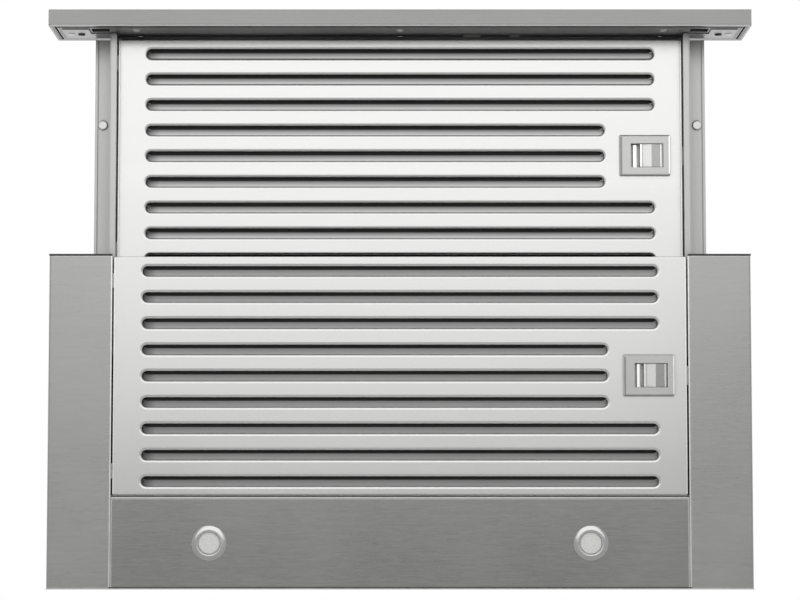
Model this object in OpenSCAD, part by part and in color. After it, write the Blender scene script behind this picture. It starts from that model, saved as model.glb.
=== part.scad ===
// Telescopic range hood with a pull-out filter drawer.
// Millimetres. X runs across the hood, -Y to the front, +Z up.
// The origin is the middle of the cabinet screws, on the tray's upper face.

/* [Tray] */
// Width of the body
body_w = 598; // [560:1:640]
// Depth of the body, front edge to wall
body_d = 284; // [276:1:320]
// Height of the tray under the cabinet
tray_h = 56; // [54:1:80]
// Sheet of the tray, panels and motor box
sheet = 1; // [0.8:0.1:1.4]
// Body's side to a cabinet screw
cabinet_screw_inset = 8; // [4:0.5:11]
// Distance between the front and rear cabinet screws
cabinet_screws_d = 180; // [120:1:220]
// Radius of a cabinet screw hole
cabinet_hole_r = 2.6; // [2:0.1:3.4]

/* [Underside] */
// Width of each side panel
panel_w = 53.5; // [46:0.5:56]
// Height of the side panel's upturned inner edge
panel_edge_h = 6.5; // [5.5:0.1:7]
// Depth of the lamp panel at the wall
lamp_panel_d = 77.5; // [70:0.5:82]
// Height of the lamp panel's upturned edges
lamp_edge_h = 12; // [8:0.5:16]
// Width of the body's closed front corners
corner_w = 28; // [16:1:28]
// Outer radius of the folded edges of the panels
fold_r = 1.6; // [1.2:0.1:2.4]

/* [Filters] */
// Gap between the body filter and a side panel
filter_side_gap = 1.5; // [1.2:0.1:2]
// Gap between the body filter and the lamp panel
filter_rear_gap = 1.9; // [1.2:0.1:2.4]
// Height of a filter's pan
filter_h = 9; // [8:0.5:10]
// Sheet of a filter
filter_sheet = 0.8; // [0.6:0.1:1]
// Number of slots in a filter
slot_count = 9; // [7:1:9]
// Width of a slot between its rolled edges
slot_w = 8; // [6:0.1:9]
// Outer radius of a slot's rolled edge
lip_r = 2.2; // [1.6:0.1:2.6]
// Filter's front edge to the middle of the first slot
slot_inset = 12.5; // [11:0.1:14]
// Filter's rear edge to the middle of the last slot
slot_rear_inset = 11.7; // [11:0.1:14]
// Plain margin beside the long slots
slot_margin = 24.7; // [20:0.1:30]
// Length that the slots beside the latch lose
slot_short = 43; // [40:1:60]
// Height of the baffle sheet above the face
baffle_gap = 5; // [4:0.5:6]
// How far the baffle's slots are shifted to the front
baffle_shift = 5.6; // [5:0.1:7]
// Thickness of the flattened mesh on the baffle
mesh_t = 0.6; // [0.4:0.1:1.2]
// Underside of the body to the face of the body filter
body_filter_z = 2; // [2:0.1:2.6]
// Underside of the body to the face of the drawer filter
drawer_filter_z = 25; // [22:0.5:26]
// Gap between the body's front edge and its filter
filter_front_gap = 1.2; // [0.8:0.1:2]
// Gap between the fascia and the drawer filter
drawer_filter_gap = 3.5; // [2:0.1:6]

/* [Filter latch] */
// Filter's right edge to the middle of the latch
latch_inset = 32.5; // [30:0.5:34]
// Width of the latch bezel
latch_w = 44; // [40:1:46]
// Depth of the latch bezel
latch_d = 35.6; // [30:0.2:40]
// How far the bezel stands below the filter
latch_proud = 1.9; // [1:0.1:1.9]
// Depth of the window in the bezel
latch_window_d = 20.6; // [16:0.2:24]
// Bezel border on the finger side
latch_border_in = 10; // [7:0.5:12]
// Bezel border on the bolt side
latch_border_out = 6; // [4:0.5:7]
// Width of the finger recess
latch_recess_w = 10; // [8:0.5:12]
// Travel of the bolt
latch_throw = 6; // [3:0.5:7]
// Reach of the bolt and the tabs past the filter's edge
latch_reach = 4; // [3:0.2:4.4]
// Thickness of the bolt and the tabs
bolt_t = 2; // [1.5:0.1:2.2]
// Length of a hinge tab
tab_l = 13; // [8:1:20]

/* [Drawer] */
// Fascia to the body's front edge when pulled out
drawer_out = 194; // [150:1:196]
// Travel of the drawer
drawer_travel = 192; // [140:1:192]
// Underside of the body to the bottom lip of a drawer rail
rail_z = 11.5; // [11.3:0.1:12]
// Height of a drawer rail
rail_h = 29.5; // [28:0.5:29.5]
// Width of a drawer rail's bottom face
rail_lip_w = 5.9; // [5:0.1:7]
// How far the bottom face reaches in past the rail's inner wall
rail_hem_w = 0.8; // [0.4:0.1:0.8]
// Width of a drawer rail's top flange
rail_flange_w = 20.6; // [20:0.1:24]
// Rear wall to the rails' rear ends with the drawer shut
rail_rear_gap = 4; // [3:0.5:30]
// Sheet of the drawer rails
rail_sheet = 0.8; // [0.6:0.1:1]
// Gap between a filter and the rail beside it
rail_gap = 0.9; // [0.8:0.1:1.4]
// Fascia to the visible rail screw
rail_screw_y = 76.6; // [50:1:100]

/* [Fascia] */
// How far the fascia stands past each side of the body
fascia_over = 0.5; // [0:0.5:10]
// Height of the fascia
fascia_h = 72; // [60:1:80]
// Thickness of the fascia
fascia_t = 14.5; // [12:0.5:20]
// How far the fascia hangs below the body
fascia_drop = 20; // [10:1:26]
// Sheet of the fascia
fascia_sheet = 0.8; // [0.6:0.1:1.2]
// Outer radius of the fascia's folds
fascia_fold_r = 1.6; // [1.2:0.1:3]
// Gap over the drawer filter to its stop ledges
ledge_gap = 0.4; // [0.3:0.1:0.6]
// Depth of the cross bars of the drawer
bar_d = 16; // [12:1:22]

/* [Runners] */
// Body's front edge to the front ends of the fixed runner members
runner_inset = 6; // [4:1:30]
// Rear wall to the rear ends of the fixed runner members
runner_rear_gap = 7; // [5:1:20]
// Width of the fixed runner member
runner_w = 24; // [24:0.5:26]
// Height of a runner
runner_h = 10; // [8.5:0.5:10]
// Sheet of a runner member
runner_sheet = 1; // [0.8:0.1:1.2]
// Diameter of the runner balls
ball_d = 2.2; // [2:0.1:2.4]

/* [Lamps] */
// Centre of the hood to a lamp
lamp_x = 161.5; // [100:0.5:200]
// Rear edge to a lamp
lamp_y = 39; // [30:0.5:45]
// Radius of a lamp's bezel
lamp_r = 15; // [12:0.5:18]
// Radius of a lamp's lens
lens_r = 9.5; // [7:0.5:10]
// Height of a lamp body above the panel
lamp_h = 28; // [20:1:30]

/* [Controls] */
// Centre of the hood to the speed button
speed_x = 62.5; // [40:0.5:80]
// Centre of the hood to the lamp button
light_x = 99.5; // [90:0.5:140]
// Radius of a button
button_r = 6; // [4:0.5:8]
// How far a button stands out of the fascia
button_proud = 3; // [2.6:0.1:5]
// Travel of a button
button_travel = 2.5; // [1:0.1:2.5]
// Height of the controls above the body's underside
button_z = 31; // [20:1:34]

/* [Motor box] */
// Body's side to the side of the motor box
box_side_gap = 29; // [23:1:49]
// Body's front edge to the front of the motor box
box_front_gap = 22; // [14:1:44]
// Height of the motor box
box_h = 140; // [136:1:180]
// Width of the motor box's bottom flange
box_flange = 12; // [10:0.5:12]

/* [Outlet] */
// Outer radius of the outlet collar
collar_r = 60; // [55:0.5:66]
// Wall of the outlet collar
collar_wall = 2; // [1.6:0.1:3]
// Height of the outlet collar
collar_h = 62; // [50:1:80]
// Width of the collar's flange
collar_flange_w = 13; // [10:1:20]
// Radius of a flap pin
flap_pin_r = 1.5; // [1.2:0.1:2]

/* [Blower] */
// Radius of the impeller
fan_r = 50; // [44:0.5:52]
// Width of the impeller
fan_w = 96; // [80:1:110]
// Number of blades
blade_count = 30; // [20:1:40]
// Radial depth of a blade
blade_d = 9; // [7:0.5:12]
// Thickness of a blade
blade_t = 1; // [0.8:0.1:1.5]
// Tightest gap between the impeller and the scroll
scroll_gap = 5; // [4:0.5:7]
// Growth of the scroll from the front of its neck to the back
scroll_growth = 15; // [10:0.5:15]
// Height of the fan axis above the tray
fan_z = 67; // [64:1:90]
// Radius of the motor
motor_r = 33; // [28:0.5:36]
// Length of the motor
motor_l = 46; // [36:1:50]
// Radius of the motor shaft
shaft_r = 4; // [3:0.1:5]

/* [Electrics] */
// Width, depth and height of the control box
control_size = [86, 62, 34]; // [30:1:120]
// Motor box's right side and rear to the control box
control_place = [130, 30]; // [20:1:140]
// Motor box's left side and rear to the middle of the capacitor
cap_place = [90, 60]; // [30:1:100]
// Radius of the capacitor
cap_r = 14; // [10:0.5:18]
// Height of the capacitor
cap_h = 52; // [40:1:80]
// Radius of the cord entry
cord_r = 3.5; // [3:0.1:5]
// Radius of the cord gland's body
gland_r = 9; // [8:0.5:12]

/* [Clearances] */
// Running clearance of a pin or a shaft
run_c = 0.06; // [0.03:0.01:0.09]
// Gap between pieces that slide past each other
slide_c = 0.3; // [0.2:0.05:0.4]
// Clearance of a screw in its hole
screw_c = 0.2; // [0.1:0.05:0.4]

/* [Hidden] */
$fn = 64;
eps = 0.01;

// Reference planes
half_w = body_w / 2;
front = -body_d / 2;
rear = body_d / 2;
under = -tray_h;
panel_in = half_w - panel_w;
half_f = panel_in - filter_side_gap;
filter_w = 2 * half_f;
fascia_w = body_w + 2 * fascia_over;
fascia_rear = front - drawer_out;
fascia_front = fascia_rear - fascia_t;
fascia_low = under - fascia_drop;
lamp_front = rear - lamp_panel_d;
body_filter_y = front + filter_front_gap;
filter_d = lamp_front - filter_rear_gap - body_filter_y;
slot_pitch = (filter_d - slot_inset - slot_rear_inset) / (slot_count - 1);
drawer_filter_y = fascia_rear + drawer_filter_gap;
body_face = under + body_filter_z;
drawer_face = under + drawer_filter_z;

// Lamp panel
lamp_half = panel_in - 0.5;
lamp_edge_x = lamp_half - 3;
lamp_hole_r = lamp_r - 2;
lug_w = 12;

// Drawer rails: inner wall, bottom face, outer wall, top flange
rail_in = half_f + rail_gap;
rail_low = under + rail_z;
rail_top = rail_low + rail_h;
rail_end = rear - sheet - rail_rear_gap - drawer_travel;
rail_lip_x = rail_in - rail_hem_w;
rail_web = rail_lip_x + rail_lip_w - rail_sheet;
rail_out = rail_in + rail_flange_w;
rail_tab_w = 24;
rail_tab_h = 23;
rail_tab_low = under - 6;
ledge_z = drawer_face + filter_h + ledge_gap;
ledge_w = 2.6;

// Runners lie flat on the rails' top flanges
runner_x = rail_out - 8.5;
rail_screw_x = rail_out - 7;
runner_top = rail_top + runner_h;
ball_gap = ball_d + 0.2;
mid_w = runner_w - 2 * (runner_sheet + ball_gap);
inner_w = mid_w - 2 * (runner_sheet + ball_gap);
outer_y = front + runner_inset;
runner_l = rear - sheet - runner_rear_gap - outer_y;
runner_hole_y = 30;
mid_y = outer_y - drawer_travel / 2;
inner_y = outer_y - drawer_travel;

// Latch, in the filter's own place: X from the hood's centre, Y from the filter's front edge
latch_x = half_f - latch_inset;
latch_y = filter_d / 2;
window_x0 = latch_x - latch_w / 2 + latch_border_in;
window_x1 = latch_x + latch_w / 2 - latch_border_out;
cup_wall = 1.5;
cup_h = baffle_gap + 1;
bolt_z = 1.2;
slider_d = latch_window_d - 2 * slide_c;
bolt_d = slider_d - 4;

// Hinge tabs on the filter's left edge
tab_y = [14, filter_d - 14 - tab_l];
tab_z = 1.5;
tab_clear = 0.6;

// Screws
screw_r = 2;
head_r = 4.5;
head_h = 1.8;

// Outlet
box_w = body_w - 2 * box_side_gap;
box_d = body_d - box_front_gap;
box_y = rear - box_d / 2;
collar_in = collar_r - collar_wall;
flap_x = 3.5;
flap_t = 1.5;
flap_r = collar_in - 1.5;
flap_z = box_h + 9;
boss_w = 2 * (flap_x + 4);
boss_d = 4;

// Blower
scroll_r0 = fan_r + scroll_gap;
scroll_wall = 1.6;
scroll_w = fan_w + 10;
inlet_r = fan_r - blade_d;
blade_rim = 0.6;
fan_y = box_y - 12;
scroll_steps = 36;
disc_t = 2;
arm_count = 3;

// Shared shapes

// A block from its low corner to its high corner
module block(low, high) {
    translate(low) cube(high - low);
}

// Draws a right-hand piece, mirrored for the left side
module on_side(s) {
    if (s < 0) mirror([1, 0, 0]) children();
    else children();
}

// Draws both hands
module both_sides() {
    children();
    mirror([1, 0, 0]) children();
}

// A rectangle with round corners, from its low corner
module round_rect(size, r) {
    translate([r, 0]) square([size.x - 2 * r, size.y]);
    translate([0, r]) square([size.x, size.y - 2 * r]);
    for (x = [r, size.x - r], y = [r, size.y - r]) translate([x, y]) circle(r);
}

// A rectangle whose two lower corners are folded with radius r
module folded_rect(size, r) {
    translate([0, r]) square([size.x, size.y - r]);
    translate([r, 0]) square([size.x - 2 * r, r + eps]);
    for (x = [r, size.x - r]) translate([x, r]) circle(r);
}

// Extrudes a profile drawn in Y and Z along X, from x0 to x1
module along_x(x0, x1) {
    translate([x0, 0, 0]) rotate([90, 0, 90]) linear_extrude(x1 - x0) children();
}

// Extrudes a profile drawn in X and Z along Y, from y0 to y1
module along_y(y0, y1) {
    translate([0, y1, 0]) rotate([90, 0, 0]) linear_extrude(y1 - y0) children();
}

// A cylinder along Y, from y0 to y1
module rod_y(r, x, z, y0, y1) {
    translate([x, y1, z]) rotate([90, 0, 0]) cylinder(r = r, h = y1 - y0);
}

// A cylinder along X, from x0 to x1
module rod_x(r, y, z, x0, x1) {
    translate([x0, y, z]) rotate([0, 90, 0]) cylinder(r = r, h = x1 - x0);
}

// A slot with round ends along X, from x0 to x1, centred on y
module slot_2d(x0, x1, y, w) {
    translate([x0 + w / 2, y - w / 2]) square([x1 - x0 - w, w]);
    for (x = [x0 + w / 2, x1 - w / 2]) translate([x, y]) circle(w / 2);
}

// Body tray

// Rectangular air opening in the tray's top, inside the runner brackets
air_x = rail_in - 8;
air_front = front + 24;
air_rear = rear - 24;

tray_flange = 12;

// Top sheet with turned-down sides between the side panels, and the rear wall
module tray_shell() {
    x1 = half_w - sheet;
    color("lightgray") difference() {
        union() {
            block([-half_w, front, -sheet], [half_w, rear, 0]);
            block([-half_w, rear - sheet, under], [half_w, rear, 0]);
            both_sides() block([x1 - sheet, front + 2, -tray_flange], [x1, rear, 0]);
        }
        block([-air_x, air_front, -sheet - eps], [air_x, air_rear, eps]);
        for (x = [-1, 1], y = [-1, 1])
            translate([x * (half_w - cabinet_screw_inset), y * cabinet_screws_d / 2, -sheet - eps])
                cylinder(r = cabinet_hole_r, h = sheet + 2 * eps);
        box_screw_places() translate([0, 0, -sheet - eps])
            cylinder(r = screw_r + screw_c, h = sheet + 2 * eps);
    }
}

// Side of the body: bottom, outer wall, low inner and front edges folded up, a closed front
// corner, a mitred inner corner, and notches for a filter's tabs or bolt
module side_panel(s) {
    size = [half_w - panel_in, rear - sheet - front, tray_h - sheet];
    low = under + sheet;
    color("gainsboro") on_side(s) difference() {
        intersection() {
            along_y(front, rear - sheet)
                translate([panel_in, under]) folded_rect([size.x, size.z], fold_r);
            along_x(panel_in, half_w) translate([front, under])
                folded_rect([size.y + 2 * fold_r, size.z], fold_r);
        }
        block([panel_in + sheet, front + sheet, low], [half_w - sheet, rear, 0]);
        block([panel_in - eps, front - eps, under + panel_edge_h],
            [half_w - corner_w, front + sheet + eps, 0]);
        block([panel_in - eps, front + sheet, under + panel_edge_h],
            [panel_in + sheet + eps, rear, 0]);
        block([panel_in - eps, lamp_front, low], [panel_in + sheet + eps, rear, 0]);
        translate([panel_in, front, under - eps]) linear_extrude(tray_h)
            polygon([[-eps, -eps], [mitre, -eps], [-eps, mitre]]);
        notch_low = body_face + (s < 0 ? tab_z : bolt_z) - slide_c;
        notches = s < 0 ? [for (y = tab_y) [y, tab_l]] : [[latch_y - bolt_d / 2, bolt_d]];
        for (n = notches)
            block([panel_in - eps, body_filter_y + n[0] - tab_clear, notch_low],
                [panel_in + sheet + eps, body_filter_y + n[0] + n[1] + tab_clear, 0]);
    }
}
mitre = 2.6;

// Lamp panel across the rear, with lugs that lie on the side panels
module lamp_panel() {
    y1 = rear - sheet;
    color("silver") difference() {
        union() {
            difference() {
                along_x(-lamp_half, lamp_half) translate([lamp_front, under])
                    folded_rect([y1 - lamp_front, lamp_edge_h], fold_r);
                block([-lamp_half - 1, lamp_front + sheet, under + sheet],
                    [lamp_half + 1, y1 - sheet, 0]);
                both_sides() block([lamp_edge_x, lamp_front - 1, under + sheet],
                    [lamp_half + 1, y1 + 1, 0]);
            }
            for (y = [lamp_front + 12, y1 - 12 - lug_w]) both_sides()
                block([lamp_half - lug_w, y, under + sheet],
                    [panel_in + lug_w, y + lug_w, under + 2 * sheet]);
        }
        both_sides() translate([lamp_x, rear - lamp_y, under - eps])
            cylinder(r = lamp_hole_r, h = sheet + 2 * eps);
    }
}

// Lamps

lens_low = 1.6;
bezel_drop = 1.2;
lamp_barrel_r = lamp_hole_r - screw_c;

// Dished ring through the lamp panel
module lamp_bezel(s) {
    color("white") on_side(s) translate([lamp_x, rear - lamp_y, under]) rotate_extrude()
        polygon([[lens_r - 0.6, lens_low], [lens_r - 0.6, lens_low - 0.8], [lamp_r - 2.2, -bezel_drop],
            [lamp_r - 0.6, -bezel_drop], [lamp_r, -bezel_drop + 0.5], [lamp_r, 0],
            [lamp_barrel_r, 0], [lamp_barrel_r, 10], [lamp_barrel_r - 1, 10],
            [lamp_barrel_r - 1, lens_low]]);
}

// Slightly crowned lens that lies on the ring
module lamp_lens(s) {
    color("whitesmoke") on_side(s) translate([lamp_x, rear - lamp_y, under]) {
        translate([0, 0, lens_low]) cylinder(r = lens_r + 0.9, h = 1.6);
        translate([0, 0, lens_low - 0.6]) cylinder(r = lens_r - 0.7, h = 0.8);
    }
}

// Lamp body with cooling ribs, on top of the lens
module lamp_body(s) {
    rib_count = 5;
    color("dimgray") on_side(s) translate([lamp_x, rear - lamp_y, under]) {
        translate([0, 0, lens_low + 1.6]) cylinder(r = lens_r - 0.5, h = lamp_h - lens_low - 1.6);
        for (i = [0:rib_count - 1])
            translate([0, 0, 12 + i * (lamp_h - 14) / rib_count]) cylinder(r = lamp_r - 1, h = 1.4);
        translate([-4, 0, lamp_h - 4]) rotate([-90, 0, 0]) translate([0, 0, lens_r - 2])
            cylinder(r = 2.5, h = 6);
    }
}

// Runners

// Hat-shaped bracket under the tray's top
module runner_bracket(s) {
    drop = -sheet - runner_top;
    color("darkgray") on_side(s) difference() {
        along_y(outer_y, outer_y + runner_l) translate([runner_x, runner_top]) {
            translate([-8, 0]) square([16, runner_sheet]);
            for (m = [0, 1]) mirror([m, 0, 0]) {
                translate([8 - runner_sheet, 0]) square([runner_sheet, drop]);
                translate([8 - runner_sheet, drop - runner_sheet])
                    square([runner_w / 2 - 8 + runner_sheet, runner_sheet]);
            }
        }
        for (y = [runner_hole_y, runner_l - runner_hole_y]) translate([runner_x, outer_y + y, runner_top - eps])
            cylinder(r = 2.5, h = runner_sheet + 2 * eps);
    }
}

// Channel section: w wide, legs of height h; the web is on top, or below when up is false
module channel_2d(w, h, up = true) {
    t = runner_sheet;
    difference() {
        translate([-w / 2, 0]) square([w, h]);
        translate([-w / 2 + t, up ? -eps : t]) square([w - 2 * t, h - t + eps]);
    }
}

module runner_outer(s) {
    h = runner_h - 1;
    color("gainsboro") on_side(s) difference() {
        along_y(outer_y, outer_y + runner_l)
            translate([runner_x, runner_top - h]) channel_2d(runner_w, h);
        for (y = [runner_hole_y, runner_l - runner_hole_y]) translate([runner_x, outer_y + y, runner_top - 2])
            cylinder(r = 2.5, h = 3);
    }
}

module runner_middle(s) {
    h = runner_h - 2 - slide_c - runner_sheet;
    top = runner_top - runner_sheet - slide_c;
    color("silver") on_side(s) difference() {
        along_y(mid_y, mid_y + runner_l) translate([runner_x, top - h]) channel_2d(mid_w, h);
        for (y = [runner_hole_y, runner_l - runner_hole_y]) translate([runner_x, mid_y + y, top - 2])
            cylinder(r = 2, h = 3);
    }
}

module runner_inner(s) {
    h = runner_h - 2 * (runner_sheet + slide_c);
    color("darkgray") on_side(s) difference() {
        along_y(inner_y, inner_y + runner_l)
            translate([runner_x, rail_top]) channel_2d(inner_w, h, false);
        rail_screw_places() translate([0, 0, rail_top - eps])
            cylinder(r = screw_r, h = runner_sheet + 2 * eps);
    }
}

// Drawer

// Where the screws go through a rail's top flange
module rail_screw_places() {
    for (y = [fascia_rear + rail_screw_y, rail_end - 28])
        translate([rail_screw_x, y, 0]) children();
}

// Side rail, folded from one strip: stop ledge over the filter, inner wall, bottom face,
// outer wall and a top flange with a hem, and a front tab on the fascia
module drawer_rail(s) {
    t = rail_sheet;
    gap = 1.6;
    hem = 2.4;
    bend = 1.2;
    notch_low = drawer_face + (s < 0 ? tab_z : bolt_z) - slide_c;
    notches = s < 0 ? [for (y = tab_y) [y, tab_l]] : [[latch_y - bolt_d / 2, bolt_d]];
    color("silver") on_side(s) difference() {
        union() {
            along_y(fascia_rear, rail_end) {
                difference() {
                    translate([rail_in, rail_low]) folded_rect([rail_web + t - rail_in, rail_h], bend);
                    translate([rail_in + t, rail_low + t]) square([rail_web - t - rail_in, rail_h]);
                    translate([rail_in - eps, ledge_z + t]) square([t + 2 * eps, rail_h]);
                }
                translate([rail_lip_x, rail_low]) round_rect([rail_hem_w + bend + t, t], t / 2 - eps);
                translate([rail_in - ledge_w, ledge_z]) square([ledge_w + t, t]);
                translate([rail_web, rail_top - t]) square([rail_out - rail_web, t]);
                translate([rail_out - hem, rail_top - 2 * t]) square([hem, t + eps]);
            }
            along_y(fascia_rear, fascia_rear + t) {
                translate([rail_web, rail_low + 3])
                    square([rail_out + rail_tab_w - rail_web, rail_tab_h - 3]);
                translate([rail_out + 1, rail_tab_low])
                    square([rail_tab_w - 1, rail_low + 4 - rail_tab_low]);
            }
        }
        block([rail_web + t, fascia_rear - eps, rail_top - 3 * t],
            [rail_out + 1, fascia_rear + gap, rail_top + 1]);
        translate([rail_lip_x, fascia_rear, rail_low - eps]) linear_extrude(t + 2 * eps) difference() {
            translate([-eps, -eps]) square([rail_lip_w + 2 * eps, lip_end_r + eps]);
            translate([lip_end_r, 0]) square([rail_lip_w - 2 * lip_end_r, lip_end_r + 1]);
            for (x = [lip_end_r, rail_lip_w - lip_end_r]) translate([x, lip_end_r]) circle(lip_end_r);
        }
        rail_screw_places() translate([0, 0, rail_top - t - eps])
            cylinder(r = screw_r + screw_c, h = t + 2 * eps);
        for (n = notches)
            block([rail_in - eps, drawer_filter_y + n[0] - tab_clear, notch_low],
                [rail_in + t + eps, drawer_filter_y + n[0] + n[1] + tab_clear,
                    notch_low + bolt_t + 5]);
        tab_screw_places()
            rod_y(screw_r * 0.8 + screw_c, 0, 0, fascia_rear - eps, fascia_rear + t + eps);
    }
}
lip_end_r = 3;

// Where a rail's front tab is screwed to the fascia, on the right-hand side
buffer_x = rail_out + 9.5;
tab_screw_x = buffer_x + 9;
tab_screw_z = under + 15;
module tab_screw_places() {
    translate([tab_screw_x, 0, tab_screw_z]) children();
}

// Channel across the drawer between the rails' outer walls, open below, from y0 to y1
module cross_bar(y0, y1) {
    t = rail_sheet;
    top = rail_top - t;
    low = ledge_z + t + slide_c;
    color("darkgray") along_x(-rail_web, rail_web) {
        translate([y0, top - t]) square([y1 - y0, t]);
        for (y = [y0, y1 - t]) translate([y, low]) square([t, top - low]);
    }
}

// Cross bar behind the fascia, over the drawer filter
module drawer_front_bar() {
    cross_bar(fascia_rear, fascia_rear + bar_d);
}

// Cross bar at the rear ends of the rails
module drawer_rear_bar() {
    cross_bar(rail_end - bar_d, rail_end);
}

// Pan-head screw pointing up, its head's flat at z = 0
module screw_up(length) {
    rotate_extrude() polygon([[0, -head_h], [head_r - 1.2, -head_h], [head_r - 0.3, -head_h + 0.7],
        [head_r, 0], [screw_r - eps, 0], [screw_r - eps, length - 1], [0, length]]);
}

module rail_screws() {
    color("gainsboro") both_sides() rail_screw_places()
        translate([0, 0, rail_top - rail_sheet]) screw_up(rail_sheet + 3);
}

// Fascia

fascia_end_w = 1.8;
// Gap below and beside the rear plate
plate_gap_z = 6;
plate_gap_x = 4.4;

// Front sheet folded round the bottom, the top and the ends
module fascia_shell() {
    t = fascia_sheet;
    r = fascia_fold_r;
    x1 = fascia_w / 2;
    depth = fascia_t - t;
    color("silver") difference() {
        along_x(-x1, x1) translate([fascia_front, fascia_low]) round_rect([fascia_t, fascia_h], r);
        block([-x1 + fascia_end_w, fascia_front + depth, fascia_low + r + 2],
            [x1 - fascia_end_w, fascia_rear + eps, fascia_low + fascia_h - r - 6]);
        along_x(-x1 + t, x1 - t) translate([fascia_front + t, fascia_low + t])
            round_rect([fascia_t - 2 * t, fascia_h - 2 * t], r - t + 0.2);
        for (x = [speed_x, light_x])
            rod_y(button_r + slide_c, x, under + button_z, fascia_front - 1, fascia_front + t + eps);
    }
}

// Rear plate with a step behind the top fold, feet behind the bottom fold, windows for the
// switches and beside the rails, and small tooling holes
module fascia_back() {
    t = fascia_sheet;
    low = fascia_low + fascia_fold_r + 2 + plate_gap_z;
    y0 = fascia_rear - t;
    x0 = fascia_w / 2 - fascia_end_w - plate_gap_x;
    x1 = x0 + t;
    color("dimgray") difference() {
        union() {
            block([-x0, y0, low],
                [x0, fascia_rear, fascia_low + fascia_h - fascia_fold_r - 6 - slide_c]);
            block([-x1, y0 - t, low], [x1, y0, fascia_low + fascia_h - t - 1]);
            both_sides() block([rail_out - 3, y0 - t, fascia_low + t + 1], [x1, y0, low + eps]);
        }
        both_sides() block([rail_web, y0 - 2 * t, rail_tab_low],
            [rail_out - 1, fascia_rear + 1, rail_low - 1.5]);
        for (c = [[speed_x, switch_w], [light_x, light_switch_w]])
            block([c[0] - c[1] / 2 - slide_c, y0 - 2 * t, under + button_z - switch_h / 2 - slide_c],
                [c[0] + c[1] / 2 + slide_c, fascia_rear + 1,
                    under + button_z + switch_h / 2 + slide_c]);
        for (p = [[126, -1], [116, 17.5], [90, 17.5]], m = [-1, 1])
            rod_y(1.6, m * p[0], under + p[1], y0 - 2 * t, fascia_rear + 1);
        fascia_screw_places() rod_y(screw_r * 0.8 + screw_c, 0, 0, y0 - 2 * t, fascia_rear + 1);
        both_sides() tab_screw_places()
            rod_y(screw_r * 0.8 + screw_c, 0, 0, y0 - 2 * t, fascia_rear + 1);
    }
}

// Where the rear plate is screwed: two rows, left, middle and right
fascia_screw_x = 226;
fascia_screw_z = [-1, 32];
module fascia_screw_places() {
    for (x = [-1, 0, 1], z = fascia_screw_z)
        translate([x * fascia_screw_x, 0, under + z]) children();
}

module fascia_screws() {
    color("gainsboro") {
        fascia_screw_places() translate([0, fascia_rear, 0]) small_screw(6, 1.4);
        both_sides() tab_screw_places()
            translate([0, fascia_rear + rail_sheet, 0]) small_screw(7, 0.9);
    }
}

// Pan-head screw pointing to the front, its head's flat at y = 0 and the head h high
module small_screw(length, h) {
    r = screw_r * 0.8;
    rotate([90, 0, 0]) rotate_extrude() polygon([[0, -h], [r, -h], [r + 1.4, -h / 2],
        [r + 1.6, 0], [r, 0], [r, length - 1], [0, length]]);
}

// Rubber domes that meet the tray's front corners
buffer_h = drawer_out - drawer_travel - 0.1;
buffer_r = 3;
module drawer_buffers() {
    color("black") both_sides() translate([buffer_x, fascia_rear + rail_sheet, tab_screw_z])
        rotate([-90, 0, 0]) rotate_extrude() polygon([[0, 0], [buffer_r, 0],
            [buffer_r, buffer_h - rail_sheet - 0.2], [buffer_r - 0.8, buffer_h - rail_sheet],
            [0, buffer_h - rail_sheet]]);
}

// Controls

switch_w = 15;
light_switch_w = 8;
switch_h = 10;

// Round cap with a stem that slides in the switch
module button(x) {
    color("dimgray") translate([x, fascia_front, under + button_z]) rotate([90, 0, 0])
        rotate_extrude() polygon([[0, button_proud], [button_r - 0.8, button_proud],
            [button_r, button_proud - 0.8], [button_r, -fascia_sheet - 0.6],
            [stem_r, -fascia_sheet - 0.6], [stem_r, -stem_l], [0, -stem_l]]);
}
stem_r = 1.8;
stem_l = 7;

// Switch body between the fascia's front and its rear plate
module switch_body(x, w) {
    y0 = fascia_front + fascia_sheet + 0.6 + button_travel + slide_c;
    color("white") translate([x, 0, under + button_z]) difference() {
        block([-w / 2, y0, -switch_h / 2], [w / 2, fascia_rear, switch_h / 2]);
        rod_y(stem_r + run_c, 0, 0, y0 - eps, fascia_front + stem_l + button_travel + slide_c);
    }
}

// Filters, drawn with their front edge at y = 0 and their face at z = 0

// Places of slot number i: both ends and its middle line; the middle ones are shorter,
// beside the latch
function slot_y(i) = slot_inset + i * slot_pitch;
function slot_x(i) = let (beside = abs(slot_y(i) - latch_y) < latch_d / 2 + slot_w)
    [-half_f + slot_margin, half_f - slot_margin - (beside ? slot_short : 0)];

// Outline of a slot, grown by d and moved to the front by shift
module filter_slot(i, shift, d = 0) {
    slot_2d(slot_x(i)[0] - d, slot_x(i)[1] + d, slot_y(i) - shift, slot_w + 2 * d);
}

// Section of a rolled edge: a quarter ring from the slot's side down to the face
module lip_2d() {
    t = filter_sheet;
    translate([slot_w / 2, 0]) {
        translate([lip_r, lip_r]) intersection() {
            difference() {
                circle(lip_r);
                circle(lip_r - t);
            }
            translate([-lip_r, -lip_r]) square(lip_r);
        }
        translate([lip_r - eps, 0]) square([0.2, t]);
    }
}

// Rolled edge round slot number i: the section carried along both sides and round both ends
module slot_lip(i) {
    x0 = slot_x(i)[0] + slot_w / 2;
    x1 = slot_x(i)[1] - slot_w / 2;
    along_x(x0, x1) for (m = [0, 1]) translate([slot_y(i), 0]) mirror([m, 0]) lip_2d();
    for (e = [[x0, 90], [x1, -90]])
        translate([e[0], slot_y(i), 0]) rotate(e[1]) rotate_extrude(angle = 180) lip_2d();
}

// Hole for the latch's cup with clearance c all round, up to a height
module cup_hole(c, top) {
    half_d = latch_window_d / 2 + cup_wall + c;
    block([window_x0 - cup_wall - c, latch_y - half_d, -1],
        [window_x1 + cup_wall + c, latch_y + half_d, top]);
}

pan_r = 1.2;

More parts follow.
